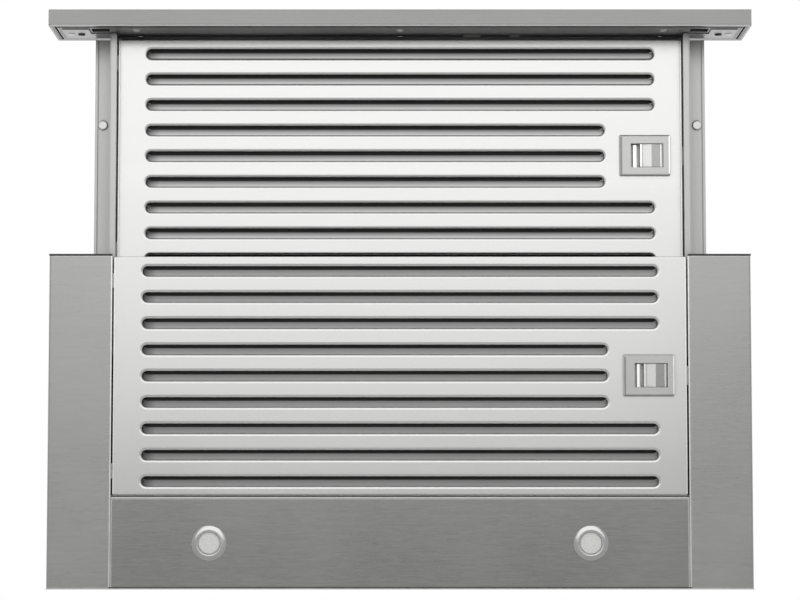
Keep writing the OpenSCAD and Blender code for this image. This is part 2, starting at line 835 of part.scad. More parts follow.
// Pan with folded edges, hinge tabs, holes grown for the rolled slot edges, and the bolt's hole
module filter_pan() {
    t = filter_sheet;
    difference() {
        union() {
            intersection() {
                along_y(0, filter_d) translate([-half_f, 0]) folded_rect([filter_w, filter_h], pan_r);
                along_x(-half_f, half_f) folded_rect([filter_d, filter_h], pan_r);
            }
            for (y = tab_y)
                block([-half_f - latch_reach, y, tab_z], [-half_f + eps, y + tab_l, tab_z + bolt_t]);
        }
        block([-half_f + t, t, t], [half_f - t, filter_d - t, filter_h + 1]);
        translate([0, 0, -1]) linear_extrude(t + 2)
            for (i = [0:slot_count - 1]) filter_slot(i, 0, lip_r);
        cup_hole(slide_c, t + 1);
        block([half_f - t - eps, latch_y - bolt_d / 2 - slide_c, bolt_z - slide_c],
            [half_f + 1, latch_y + bolt_d / 2 + slide_c, bolt_z + bolt_t + slide_c]);
    }
}

// Pan and the rolled edges of all its slots
module filter_face() {
    color("gainsboro") {
        filter_pan();
        for (i = [0:slot_count - 1]) slot_lip(i);
    }
}

// Second sheet inside the pan; its slots are shifted, so grease meets metal
module filter_baffle() {
    t = filter_sheet;
    x1 = half_f - t;
    y1 = filter_d - t;
    top = t + baffle_gap;
    color("darkgray") difference() {
        block([-x1, t, t], [x1, y1, top + t]);
        block([-x1 + t, 2 * t, t - eps], [x1 - t, y1 - t, top]);
        translate([0, 0, top - 1]) linear_extrude(t + 2)
            for (i = [0:slot_count - 1]) filter_slot(i, baffle_shift);
        cup_hole(1, top + 2);
        block([window_x1, latch_y - bolt_d / 2 - 1, 0], [x1 + 1, latch_y + bolt_d / 2 + 1, top - 1]);
    }
}

// Flattened fine mesh that lies on the baffle, inside the pan
module filter_mesh() {
    t = filter_sheet;
    low = 2 * t + baffle_gap;
    color("black") difference() {
        block([-half_f + t, t, low], [half_f - t, filter_d - t, low + mesh_t]);
        cup_hole(1, low + mesh_t + 1);
    }
}

// Bezel with a bevelled edge and a cup for the fingers
module latch_bezel() {
    bevel = 1.2;
    x0 = latch_x - latch_w / 2;
    y0 = latch_y - latch_d / 2;
    half_d = latch_window_d / 2;
    color("silver") difference() {
        union() {
            intersection() {
                translate([x0, y0, -latch_proud]) linear_extrude(latch_proud)
                    round_rect([latch_w, latch_d], 1.5);
                along_y(y0 - 1, y0 + latch_d + 1) translate([x0, 0])
                    polygon([[0, 0], [0, -latch_proud + bevel], [bevel, -latch_proud],
                        [latch_w - bevel, -latch_proud], [latch_w, -latch_proud + bevel], [latch_w, 0]]);
                along_x(x0 - 1, x0 + latch_w + 1) translate([y0, 0])
                    polygon([[0, 0], [0, -latch_proud + bevel], [bevel, -latch_proud],
                        [latch_d - bevel, -latch_proud], [latch_d, -latch_proud + bevel], [latch_d, 0]]);
            }
            block([window_x0 - cup_wall, latch_y - half_d - cup_wall, -eps],
                [window_x1 + cup_wall, latch_y + half_d + cup_wall, cup_h + cup_wall]);
        }
        block([window_x0, latch_y - half_d, -latch_proud - 1], [window_x1, latch_y + half_d, cup_h]);
        block([window_x1 - eps, latch_y - bolt_d / 2 - slide_c, bolt_z - slide_c],
            [window_x1 + cup_wall + 1, latch_y + bolt_d / 2 + slide_c, bolt_z + bolt_t + slide_c]);
    }
}

// Slider: a thumb plate with two slopes and a ridge between them, and the bolt that
// reaches past the filter's edge
module latch_slider() {
    x0 = window_x0 + latch_recess_w;
    x1 = window_x1 - slide_c;
    low = -latch_proud + 0.7;
    half_s = slider_d / 2;
    color("gray") {
        along_y(latch_y - half_s, latch_y + half_s) polygon([[x0, bolt_z + eps],
            [x0, low + 1], [x0 + slider_ridge, low], [x1, low + 1.1], [x1, bolt_z + eps]]);
        block([x0, latch_y - bolt_d / 2, bolt_z],
            [half_f + latch_reach, latch_y + bolt_d / 2, bolt_z + bolt_t]);
    }
}
slider_ridge = 8;

module at_body_filter() {
    translate([0, body_filter_y, body_face]) children();
}

module at_drawer_filter() {
    translate([0, drawer_filter_y, drawer_face]) children();
}

// Motor box

module box_screw_places() {
    inset = 40;
    for (s = [-1, 1], y = [box_y0 + inset, box_y, rear - inset])
        translate([s * (box_x1 + box_flange / 2), y, 0]) children();
    for (x = [-1, 0, 1]) translate([x * box_x1 * 2 / 3, box_y0 - box_flange / 2, 0]) children();
}

// Folded tabs by which the box's plates lie on each other
box_tab = 10;
box_x1 = box_w / 2;
box_y0 = rear - box_d;
box_top_z = box_h - sheet;
// Margin round a pressed field, and its height
swage_in = 24;
swage_h = 1.6;

// Top plate with the outlet hole and the gland hole
module motor_box_top() {
    color("lightgray") difference() {
        block([-box_x1, box_y0, box_top_z], [box_x1, rear, box_h]);
        translate([0, box_y, box_top_z - 1]) cylinder(r = collar_in, h = sheet + 2);
        translate([gland_x, gland_y, box_top_z - 1])
            cylinder(r = gland_thread_r + screw_c, h = sheet + 2);
        collar_screw_places() translate([0, 0, box_top_z - 1]) cylinder(r = screw_r, h = sheet + 2);
    }
}

// End plate with a bottom flange on the tray and tabs under the top plate
module motor_box_end(s) {
    x0 = box_x1 - sheet;
    color("lightgray") on_side(s) difference() {
        union() {
            block([x0, box_y0, 0], [box_x1, rear, box_top_z]);
            block([x0, box_y0, 0], [box_x1 + box_flange, rear, sheet]);
            for (y = [box_y0 + 30, rear - 30 - 4 * box_tab])
                block([x0 - box_tab, y, box_top_z - sheet], [x0 + eps, y + 4 * box_tab, box_top_z]);
            block([x0 + sheet - eps, box_y0 + swage_in, swage_in],
                [box_x1 + swage_h, rear - swage_in, box_top_z - swage_in]);
        }
        block([x0 - eps, box_y0 + swage_in + sheet, swage_in + sheet],
            [box_x1 + swage_h - sheet, rear - swage_in - sheet, box_top_z - swage_in - sheet]);
        box_screw_places() translate([0, 0, -1]) cylinder(r = screw_r + screw_c, h = sheet + 2);
    }
}

// Plate across the box at y, with side tabs and a top tab from y0 to y1
module box_plate(y, y0, y1) {
    x0 = box_x1 - sheet;
    block([-x0, y, 0], [x0, y + sheet, box_top_z]);
    both_sides() block([x0 - sheet, y0, 0], [x0, y1, box_top_z - 2 * sheet]);
    block([-x0 + 2 * box_tab, y0, box_top_z - sheet], [x0 - 2 * box_tab, y1, box_top_z]);
}

// Front plate with a bottom flange on the tray and a pressed field
module motor_box_front() {
    x0 = box_x1 - sheet;
    y = box_y0;
    color("lightgray") difference() {
        union() {
            box_plate(y, y, y + box_tab);
            block([-x0, y - box_flange, 0], [x0, y + eps, sheet]);
            block([-x0 + swage_in, y - swage_h, swage_in],
                [x0 - swage_in, y + eps, box_top_z - swage_in]);
        }
        block([-x0 + swage_in + sheet, y - swage_h + sheet, swage_in + sheet],
            [x0 - swage_in - sheet, y + sheet + eps, box_top_z - swage_in - sheet]);
        box_screw_places() translate([0, 0, -1]) cylinder(r = screw_r + screw_c, h = sheet + 2);
    }
}

module motor_box_rear() {
    color("lightgray") box_plate(rear - sheet, rear - box_tab, rear);
}

module box_screws() {
    color("gainsboro") box_screw_places() translate([0, 0, sheet]) mirror([0, 0, 1]) screw_up(sheet + 4);
}

// Outlet

module collar_screw_places() {
    for (a = [45:90:315]) translate([0, box_y, 0]) rotate(a)
        translate([collar_r + collar_flange_w / 2, 0, 0]) children();
}

// Collar with its flange, a stop ring for the flaps and their bearing bosses
module outlet_collar() {
    z0 = box_h;
    flange_t = 3;
    color("dimgray") difference() {
        union() {
            translate([0, box_y, z0]) cylinder(r = collar_r + collar_flange_w, h = flange_t);
            translate([0, box_y, z0]) cylinder(r = collar_r, h = collar_h);
        }
        translate([0, box_y, z0 - 1]) difference() {
            cylinder(r = collar_in, h = collar_h + 2);
            cylinder(r = collar_in + 1, h = flap_z - z0 + 1 - slide_c);
            for (m = [0, 1]) mirror([0, m, 0])
                translate([-boss_w / 2, collar_in - boss_d, 0])
                    cube([boss_w, boss_d + 2, flap_z - z0 + 5.5]);
        }
        translate([0, box_y, z0 - 1]) cylinder(r = collar_in - 3.5, h = flap_z - z0 + 1);
        for (x = [-flap_x, flap_x])
            rod_y(flap_pin_r + run_c, x, flap_z + flap_t / 2,
                box_y - collar_in - eps, box_y + collar_in + eps);
        collar_screw_places() translate([0, 0, z0 - 1]) cylinder(r = screw_r + screw_c, h = flange_t + 2);
    }
}

module collar_screws() {
    color("gainsboro") collar_screw_places() translate([0, 0, box_h + 3]) mirror([0, 0, 1]) screw_up(8);
}

// Half-round flap with its two pins
module flap(s) {
    half_pin = collar_in - 0.6;
    half_flap = collar_in - boss_d - slide_c;
    color("gray") translate([0, box_y, flap_z]) on_side(s) {
        intersection() {
            cylinder(r = flap_r, h = flap_t);
            block([flap_x - 1.2, -half_flap, -1], [collar_r, half_flap, flap_t + 1]);
        }
        for (m = [0, 1]) mirror([0, m, 0])
            rod_y(flap_pin_r, flap_x, flap_t / 2, collar_in - boss_d - 8, half_pin);
    }
}

// Blower

// Radius of the scroll at angle a, counted from the front of the neck under the wheel to its back
function scroll_r(a) = scroll_r0 + scroll_growth * a / 180;

// Spiral shell with an upright neck, as a filled profile grown by d
module scroll_2d(d) {
    neck_h = box_h - sheet - fan_z;
    polygon([for (i = [0:scroll_steps]) let (a = 180 * i / scroll_steps, r = scroll_r(a) + d)
        [-r * cos(a), -r * sin(a)]]);
    translate([-scroll_r0 - d, -eps]) square([scroll_r0 + scroll_r(180) + 2 * d, neck_h + eps]);
}

module scroll_wrap() {
    x1 = scroll_w / 2;
    color("dimgray") translate([0, fan_y, fan_z]) difference() {
        along_x(-x1 + scroll_wall, x1 - scroll_wall) scroll_2d(scroll_wall);
        along_x(-x1, x1) scroll_2d(0);
        block([-x1, -scroll_r0, 0], [x1, scroll_r(180), box_h]);
    }
}

// Side plate with its round inlet and rolled lip
module scroll_side(s) {
    x1 = scroll_w / 2;
    color("dimgray") on_side(s) translate([0, fan_y, fan_z]) difference() {
        union() {
            along_x(x1 - scroll_wall, x1) scroll_2d(scroll_wall);
            rod_x(inlet_r + 3, 0, 0, x1 - scroll_wall, x1 + 3);
        }
        rod_x(inlet_r, 0, 0, x1 - scroll_wall - 1, x1 + 4);
    }
}

// Squirrel-cage wheel: disc with its hub, blades on both sides of it and end rings
wheel_ring_t = 2;

module impeller_disc() {
    hub_r = 12;
    color("gray") translate([0, fan_y, fan_z]) difference() {
        union() {
            rod_x(fan_r, 0, 0, -disc_t / 2, disc_t / 2);
            rod_x(hub_r, 0, 0, 0, 16);
        }
        rod_x(shaft_r, 0, 0, -disc_t, 17);
    }
}

module impeller_blades() {
    lean = 24;
    color("gray") translate([0, fan_y, fan_z])
        for (x = [disc_t / 2, -fan_w / 2 + wheel_ring_t], i = [0:blade_count - 1])
            along_x(x, x + fan_w / 2 - wheel_ring_t - disc_t / 2)
                rotate(i * 360 / blade_count) blade_2d(lean);
}

module impeller_rings() {
    color("gray") translate([0, fan_y, fan_z])
        for (x = [-fan_w / 2, fan_w / 2 - wheel_ring_t]) difference() {
            rod_x(fan_r, 0, 0, x, x + wheel_ring_t);
            rod_x(fan_r - blade_d - blade_rim, 0, 0, x - 1, x + wheel_ring_t + 1);
        }
}

// Forward-curved blade between two radii, bent by the angle lean
module blade_2d(lean) {
    n = 4;
    r0 = fan_r - blade_d;
    r1 = fan_r - blade_rim;
    mid = [for (i = [0:n]) let (u = i / n) [r0 + (r1 - r0) * u, lean * u * u / 2]];
    polygon(concat([for (p = mid) [p.x * cos(p.y), p.x * sin(p.y)]],
        [for (i = [n:-1:0]) let (p = mid[i], w = blade_t / p.x * 180 / PI)
            [p.x * cos(p.y + w), p.x * sin(p.y + w)]]));
}

motor_x1 = -disc_t / 2 - 4;
motor_x0 = motor_x1 - motor_l;

// Motor can with end shields, held in the left inlet
module motor() {
    color("silver") translate([0, fan_y, fan_z]) difference() {
        union() {
            rod_x(motor_r, 0, 0, motor_x0, motor_x1);
            rod_x(12, 0, 0, motor_x0 - 6, motor_x1 + 2);
        }
        rod_x(shaft_r + run_c, 0, 0, motor_x0 - 7, motor_x1 + 3);
    }
}

module motor_shaft() {
    color("gainsboro") translate([0, fan_y, fan_z])
        rod_x(shaft_r - 2 * eps, 0, 0, motor_x0 - 10, 20);
}

// Spider of three arms from the motor to the left inlet
module motor_bracket() {
    x1 = -scroll_w / 2 - 3;
    arm = 12;
    color("dimgray") translate([0, fan_y, fan_z]) {
        difference() {
            rod_x(motor_r - 6, 0, 0, x1 - 3, x1);
            rod_x(13, 0, 0, x1 - 4, x1 + 1);
        }
        for (i = [0:arm_count - 1]) rotate([i * 360 / arm_count, 0, 0])
            block([x1 - 3, -arm / 2, motor_r - 10], [x1, arm / 2, inlet_r + 3]);
        difference() {
            rod_x(motor_r - 6, 0, 0, x1 - eps, motor_x0);
            rod_x(motor_r - 9, 0, 0, x1 - 1, motor_x0 + 1);
        }
    }
}

// Electrics

gland_x = box_w / 2 - 60;
gland_y = rear - 40;
gland_thread_r = gland_r - 2.5;

module control_box() {
    r = 2;
    low = box_h - sheet - control_size.z;
    x0 = box_w / 2 - control_place.x - control_size.x;
    color("white") translate([x0, rear - control_place.y - control_size.y, low]) difference() {
        linear_extrude(control_size.z) round_rect([control_size.x, control_size.y], r);
        translate([r, r, r]) cube([control_size.x - 2 * r, control_size.y - 2 * r, control_size.z]);
        translate([control_size.x - r - 1, 12, 8]) cube([r + 2, 10, 8]);
    }
}

module capacitor() {
    low = box_h - sheet - cap_h;
    color("white") translate([-box_w / 2 + cap_place.x, rear - cap_place.y, low]) {
        cylinder(r = cap_r, h = cap_h);
        translate([0, 0, -6]) cylinder(r = 4, h = 6);
    }
}

// Gland with a through bore for the cord
module cable_gland() {
    color("black") translate([gland_x, gland_y, box_h]) difference() {
        union() {
            cylinder(r = gland_r, h = 5, $fn = 6);
            translate([0, 0, -8]) cylinder(r = gland_thread_r, h = 9);
            cylinder(r = gland_r - 2, h = 14);
            translate([0, 0, -sheet - 4]) cylinder(r = gland_r, h = 4, $fn = 6);
        }
        translate([0, 0, -20]) cylinder(r = cord_r, h = 40);
    }
}

// Assembly

tray_shell();
side_panel(-1);  // side_panel_left
side_panel(1);  // side_panel_right
lamp_panel();
lamp_bezel(-1);  // lamp_bezel_left
lamp_bezel(1);  // lamp_bezel_right
lamp_lens(-1);  // lamp_lens_left
lamp_lens(1);  // lamp_lens_right
lamp_body(-1);  // lamp_body_left
lamp_body(1);  // lamp_body_right
runner_bracket(-1);  // runner_bracket_left
runner_bracket(1);  // runner_bracket_right
runner_outer(-1);  // runner_outer_left
runner_outer(1);  // runner_outer_right
runner_middle(-1);  // runner_middle_left
runner_middle(1);  // runner_middle_right
runner_inner(-1);  // runner_inner_left
runner_inner(1);  // runner_inner_right
drawer_rail(-1);  // drawer_rail_left
drawer_rail(1);  // drawer_rail_right
drawer_front_bar();
drawer_rear_bar();
rail_screws();
fascia_shell();
fascia_back();
fascia_screws();
drawer_buffers();
button(speed_x);  // speed_button
button(light_x);  // light_button
switch_body(speed_x, switch_w);  // speed_switch
switch_body(light_x, light_switch_w);  // light_switch
at_drawer_filter() filter_face();  // drawer_filter_face
at_drawer_filter() filter_baffle();  // drawer_filter_baffle
at_drawer_filter() filter_mesh();  // drawer_filter_mesh
at_drawer_filter() latch_bezel();  // drawer_latch_bezel
at_drawer_filter() latch_slider();  // drawer_latch_slider
at_body_filter() filter_face();  // body_filter_face
at_body_filter() filter_baffle();  // body_filter_baffle
at_body_filter() filter_mesh();  // body_filter_mesh
at_body_filter() latch_bezel();  // body_latch_bezel
at_body_filter() latch_slider();  // body_latch_slider
motor_box_top();
motor_box_front();
motor_box_rear();
motor_box_end(-1);  // motor_box_left
motor_box_end(1);  // motor_box_right
box_screws();
outlet_collar();
collar_screws();
flap(-1);  // flap_left
flap(1);  // flap_right
scroll_wrap();
scroll_side(-1);  // scroll_left
scroll_side(1);  // scroll_right
impeller_disc();
impeller_blades();
impeller_rings();
motor();
motor_shaft();
motor_bracket();
control_box();
capacitor();
cable_gland();
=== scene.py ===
import math

import bmesh
import bpy
import numpy as np
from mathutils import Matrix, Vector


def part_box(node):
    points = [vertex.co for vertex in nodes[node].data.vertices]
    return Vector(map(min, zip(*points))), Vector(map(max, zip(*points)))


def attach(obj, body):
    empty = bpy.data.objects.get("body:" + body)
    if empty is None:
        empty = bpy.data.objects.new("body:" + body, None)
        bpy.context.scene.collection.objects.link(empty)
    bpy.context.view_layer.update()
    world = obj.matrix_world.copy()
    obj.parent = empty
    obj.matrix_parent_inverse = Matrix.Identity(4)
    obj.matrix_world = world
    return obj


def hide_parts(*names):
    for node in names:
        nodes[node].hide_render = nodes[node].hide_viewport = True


# Telescopic range hood seen from below, its filter drawer pulled out.
# Metres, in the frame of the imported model: X across, -Y to the front, +Z up.

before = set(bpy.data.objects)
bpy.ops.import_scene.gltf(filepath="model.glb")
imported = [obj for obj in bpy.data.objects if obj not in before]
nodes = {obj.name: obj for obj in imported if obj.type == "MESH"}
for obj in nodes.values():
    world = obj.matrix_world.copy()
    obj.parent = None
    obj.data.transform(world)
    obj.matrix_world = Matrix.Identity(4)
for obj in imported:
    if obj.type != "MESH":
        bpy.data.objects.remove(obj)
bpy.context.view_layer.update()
mm = 0.001
print("frame loaded:", len(nodes), "nodes")


# Node helpers

def newTree(name):
    material = bpy.data.materials.new(name)
    material.use_nodes = True
    tree = material.node_tree
    tree.nodes.clear()
    output = tree.nodes.new("ShaderNodeOutputMaterial")
    shader = tree.nodes.new("ShaderNodeBsdfPrincipled")
    tree.links.new(shader.outputs[0], output.inputs["Surface"])
    return material, tree, shader


def node(tree, kind, inputs=None, **settings):
    made = tree.nodes.new("ShaderNode" + kind)
    for key, value in settings.items():
        setattr(made, key, value)
    for key, value in (inputs or {}).items():
        if isinstance(value, bpy.types.NodeSocket):
            tree.links.new(value, made.inputs[key])
        else:
            made.inputs[key].default_value = value
    return made


def objectCoords(tree):
    return node(tree, "TexCoord").outputs["Object"]


def objectNoise(tree, scale, detail, rough):
    # noise on the piece's own coordinates, stretched by the three scales (features per metre)
    mapped = node(tree, "Mapping", {"Vector": objectCoords(tree), "Scale": scale}).outputs[0]
    made = node(tree, "TexNoise", {"Vector": mapped, "Scale": 1.0, "Detail": detail,
                                   "Roughness": rough})
    return made.outputs["Fac"]


def ranged(tree, value, low, high, fromLow=0.3, fromHigh=0.7):
    # the value's range turned into low to high; noise lies between 0.3 and 0.7
    made = node(tree, "MapRange", {"Value": value, "From Min": fromLow, "From Max": fromHigh,
                                   "To Min": low, "To Max": high})
    return made.outputs[0]


def around(tree, value, share):
    # noise turned into a factor that strays from 1 by a share
    return ranged(tree, value, 1 - share, 1 + share)


def product(tree, a, b):
    return node(tree, "Math", {0: a, 1: b}, operation="MULTIPLY").outputs[0]


def tinted(tree, factor, color):
    # the colour times a grey factor
    made = node(tree, "VectorMath", {0: color[:3], "Scale": factor}, operation="SCALE")
    return made.outputs[0]


# samples and ranges of the painted highlight on edges and the painted shade in grooves
paintedLightSettings = dict(edgeSamples=4, edgeLean=(0.80, 0.995), grooveSamples=8,
                    grooveOpen=(0.35, 0.95))


def roundedNormal(tree, radius):
    return node(tree, "Bevel", {"Radius": radius}, samples=paintedLightSettings["edgeSamples"]).outputs[0]


def paintedEdgeHighlight(tree, rounded, shine):
    # painted highlight: 1 on flats and up to the shine on edges, by how far a rounded normal leans
    # from the true one
    true = node(tree, "NewGeometry").outputs["Normal"]
    dot = node(tree, "VectorMath", {0: rounded, 1: true}, operation="DOT_PRODUCT").outputs["Value"]
    mask = ranged(tree, dot, 1.0, 0.0, *paintedLightSettings["edgeLean"])
    return ranged(tree, mask, 1.0, shine, 0.0, 1.0)


def grooveShade(tree, depth, reach):
    # painted shade: 1 in the open, less by the depth in grooves and corners within the reach
    bare = node(tree, "AmbientOcclusion", {"Distance": reach},
                samples=paintedLightSettings["grooveSamples"]).outputs["AO"]
    return ranged(tree, bare, 1.0 - depth, 1.0, *paintedLightSettings["grooveOpen"])


# Brushed sheet of the hood

sheetFinish = dict(roughness=0.34, along="x", grain=0.05, smudge=0.05, edge=0.3, groove=0.0,
                   reach=6 * mm, bump=0.15)
steelFinishes = {
    # colour, roughness, grain direction, grain strength, smudges, painted highlight on edges,
    # painted shade in grooves and how far it reaches; what isn't named is as in sheetFinish
    "trayFinish": dict(color=(0.50, 0.50, 0.495), grain=0.06, smudge=0.06, edge=0.5, groove=0.3,
                       reach=12 * mm),
    "panelFinish": dict(color=(0.42, 0.42, 0.413), roughness=0.30, grain=0.045, edge=1.3),
    "lampPanelFinish": dict(color=(0.33, 0.33, 0.325), roughness=0.30, grain=0.07, smudge=0.04,
                            edge=1.3),
    "filterFinish": dict(color=(0.705, 0.705, 0.70), roughness=0.22, grain=0.012, smudge=0.02,
                         groove=0.22, reach=4 * mm, bump=0.04),
    # the two baffles are one metal: their colours and trough ranges differ as painted light and
    # shade
    "drawerBaffleFinish": dict(color=(0.52, 0.52, 0.52), groove=0.5, reach=7 * mm,
                               troughs=dict(first=-321.6 * mm, low=0.25, high=1.35)),
    "bodyBaffleFinish": dict(color=(0.44, 0.44, 0.44), groove=0.5, reach=7 * mm,
                             troughs=dict(first=-129.9 * mm, low=0.50, high=1.0)),
    "fasciaFinish": dict(color=(0.29, 0.29, 0.288), roughness=0.30, edge=1.5),
    "railFinish": dict(color=(0.53, 0.53, 0.528), along="y", edge=0.5, groove=0.35,
                       reach=24 * mm, tabs=dict(fromY=-335.4 * mm, toY=-335.0 * mm, shade=0.42)),
    "zincFinish": dict(color=(0.48, 0.485, 0.49), roughness=0.42, along="y", smudge=0.12,
                       groove=0.4, reach=12 * mm),
    "backFinish": dict(color=(0.27, 0.27, 0.27), roughness=0.40, grain=0.06, smudge=0.10,
                       groove=0.3, reach=12 * mm),
    "boxFinish": dict(color=(0.60, 0.61, 0.62), roughness=0.42, along="z", grain=0.04,
                      smudge=0.09, groove=0.2, reach=12 * mm),
}
brushing = dict(
    # features per metre across and along the grain, detail and roughness of each noise
    fine=dict(across=1400.0, along=90.0, detail=2.0, rough=0.7),
    coarse=dict(across=420.0, along=22.5, detail=3.0, rough=0.55),
    cloud=dict(scale=(9.0, 7.0, 8.0), detail=4.0, rough=0.5),
    coarseShare=0.4, roundRadius=1.0 * mm, bumpHigh=0.02 * mm,
    roughFine=(0.90, 1.10), roughCloud=(0.92, 1.10))
troughSettings = dict(pitch=22.4 * mm, rise=0.26, endFrom=-218 * mm, endTo=-208 * mm,
                      endShade=0.4)


def brushedNoise(tree, s, direction):
    # noise drawn out along the brushing
    scale = tuple(s["along"] if axis == direction else s["across"] for axis in "xyz")
    return objectNoise(tree, scale, s["detail"], s["rough"])


def troughShade(tree, s, spacing):
    # painted shade on the baffles seen through the slots: y's place within a pitch runs from dark
    # in front to light behind, and the closed left ends are painted dark
    parts = node(tree, "SeparateXYZ", {0: objectCoords(tree)})
    turns = node(tree, "MapRange", {"Value": parts.outputs["Y"], "From Min": s["first"],
                                    "From Max": s["first"] + spacing["pitch"]}, clamp=False)
    place = node(tree, "Math", {0: turns.outputs[0]}, operation="FRACT").outputs[0]
    along = ranged(tree, place, s["low"], s["high"], 0.0, spacing["rise"])
    return product(tree, along, ranged(tree, parts.outputs["X"], spacing["endShade"], 1.0,
                                       spacing["endFrom"], spacing["endTo"]))


def tabShade(tree, s):
    # painted shade: the rails' upright front tabs, which face the rear, are darker than the rest
    placeY = node(tree, "SeparateXYZ", {0: objectCoords(tree)}).outputs["Y"]
    return ranged(tree, placeY, s["shade"], 1.0, s["fromY"], s["toY"])


def steel(name, s, b):
    material, tree, shader = newTree(name)
    fine = brushedNoise(tree, b["fine"], s["along"])
    coarse = brushedNoise(tree, b["coarse"], s["along"])
    cloud = objectNoise(tree, **b["cloud"])
    shade = product(tree, around(tree, fine, s["grain"]),
                    around(tree, coarse, b["coarseShare"] * s["grain"]))
    shade = product(tree, shade, around(tree, cloud, s["smudge"]))
    rounded = roundedNormal(tree, b["roundRadius"])
    # painted highlight on the edges
    shade = product(tree, shade, paintedEdgeHighlight(tree, rounded, 1.0 + s["edge"]))
    # painted shade in grooves and corners
    if s["groove"] > 0.0:
        shade = product(tree, shade, grooveShade(tree, s["groove"], s["reach"]))
    # painted shade of the baffle troughs
    if "troughs" in s:
        shade = product(tree, shade, troughShade(tree, s["troughs"], troughSettings))
    # painted shade on the rails' upright front tabs
    if "tabs" in s:
        shade = product(tree, shade, tabShade(tree, s["tabs"]))
    tree.links.new(tinted(tree, shade, s["color"]), shader.inputs["Base Color"])
    rough = product(tree, ranged(tree, fine, *b["roughFine"]),
                    ranged(tree, cloud, *b["roughCloud"]))
    tree.links.new(product(tree, rough, s["roughness"]), shader.inputs["Roughness"])
    bump = node(tree, "Bump", {"Height": fine, "Strength": s["bump"], "Distance": b["bumpHigh"],
                               "Normal": rounded})
    tree.links.new(bump.outputs[0], shader.inputs["Normal"])
    shader.inputs["Metallic"].default_value = 1.0
    return material


# Moulded, cast and polished pieces, and strips painted bright as highlights and dark as shade

mouldedFinish = dict(metal=0.0, groove=0.4)
# base of the strips painted bright as highlights and dark as shade
paintedLightStrip = dict(metal=1.0, grain=900.0, bump=0.05, mottle=0.04, groove=0.0)
plainFinishes = {
    # colour, roughness, metal share, grain size per metre, bump, mottle, painted shade in grooves;
    # what isn't named is as in mouldedFinish
    "latchFinish": dict(color=(0.56, 0.56, 0.555), roughness=0.32, metal=0.85, grain=900.0,
                        bump=0.1, mottle=0.04),
    "sliderFinish": dict(color=(0.68, 0.68, 0.67), roughness=0.24, metal=0.9, grain=900.0,
                         bump=0.1, mottle=0.04),
    # painted highlight: a brighter copy of the latch slider's metal
    "paintedHighlightFinish": dict(paintedLightStrip, color=(0.93, 0.93, 0.92), roughness=0.14, mottle=0.03),
    # painted shade: a darker copy of the latch slider's metal
    "paintedShadeRampFinish": dict(paintedLightStrip, color=(0.42, 0.42, 0.415), roughness=0.28, mottle=0.05),
    # painted shade: a dark copy of the latch bezel's metal
    "paintedShadeBevelFinish": dict(paintedLightStrip, color=(0.27, 0.27, 0.27), roughness=0.3, mottle=0.05),
    # painted highlights: brighter copies of the sheet metal for strips along folded edges
    "filterRimFinish": dict(paintedLightStrip, color=(0.90, 0.90, 0.89), roughness=0.2, mottle=0.03),
    "panelRimFinish": dict(paintedLightStrip, color=(0.84, 0.84, 0.83), roughness=0.22),
    "lampRimFinish": dict(paintedLightStrip, color=(0.62, 0.62, 0.61), roughness=0.24),
    "fasciaRimFinish": dict(paintedLightStrip, color=(0.52, 0.52, 0.515), roughness=0.24),
    # painted shade: a dark copy of the sheet metal for the fascia's returns and liners
    "paintedShadeReturnFinish": dict(paintedLightStrip, color=(0.19, 0.19, 0.19), roughness=0.38, bump=0.1,
                         mottle=0.06),
    "darkStripFinish": dict(color=(0.05, 0.05, 0.05), roughness=0.5, grain=1200.0, bump=0.1,
                       mottle=0.2),
    "ringFinish": dict(color=(0.60, 0.60, 0.60), roughness=0.20, metal=1.0, grain=400.0,
                       bump=0.05, mottle=0.04),
    "lampBodyFinish": dict(color=(0.42, 0.42, 0.42), roughness=0.5, metal=0.6, grain=700.0,
                           bump=0.3, mottle=0.08),
    "motorFinish": dict(color=(0.55, 0.55, 0.55), roughness=0.45, metal=0.9, grain=500.0,
                        bump=0.2, mottle=0.08),
    "screwFinish": dict(color=(0.62, 0.62, 0.62), roughness=0.30, metal=1.0, grain=1200.0,
                        bump=0.1, mottle=0.10),
    "blackFinish": dict(color=(0.035, 0.035, 0.037), roughness=0.48, grain=1100.0, bump=0.35,
                        mottle=0.25),
    "greyFinish": dict(color=(0.20, 0.20, 0.205), roughness=0.42, grain=1100.0, bump=0.3,
                       mottle=0.12),
    "whiteFinish": dict(color=(0.72, 0.72, 0.70), roughness=0.45, grain=900.0, bump=0.2,
                        mottle=0.05),
    # painted shade: the mesh is near-black so the inside of the filters shows dark
    "meshFinish": dict(color=(0.03, 0.03, 0.03), roughness=0.6, metal=0.3, grain=1200.0,
                       bump=0.5, mottle=0.4),
    "rubberFinish": dict(color=(0.02, 0.02, 0.02), roughness=0.7, grain=1500.0, bump=0.4,
                         mottle=0.3),
}
moulding = dict(grain=dict(detail=3.0, rough=0.6), grainShare=0.5,
                cloud=dict(scale=(30.0, 30.0, 30.0), detail=3.0, rough=0.5),
                roundRadius=0.5 * mm, edgeHighlightPaint=1.35, grooveReach=5.0 * mm, bumpHigh=0.03 * mm,
                roughCloud=(0.9, 1.12))


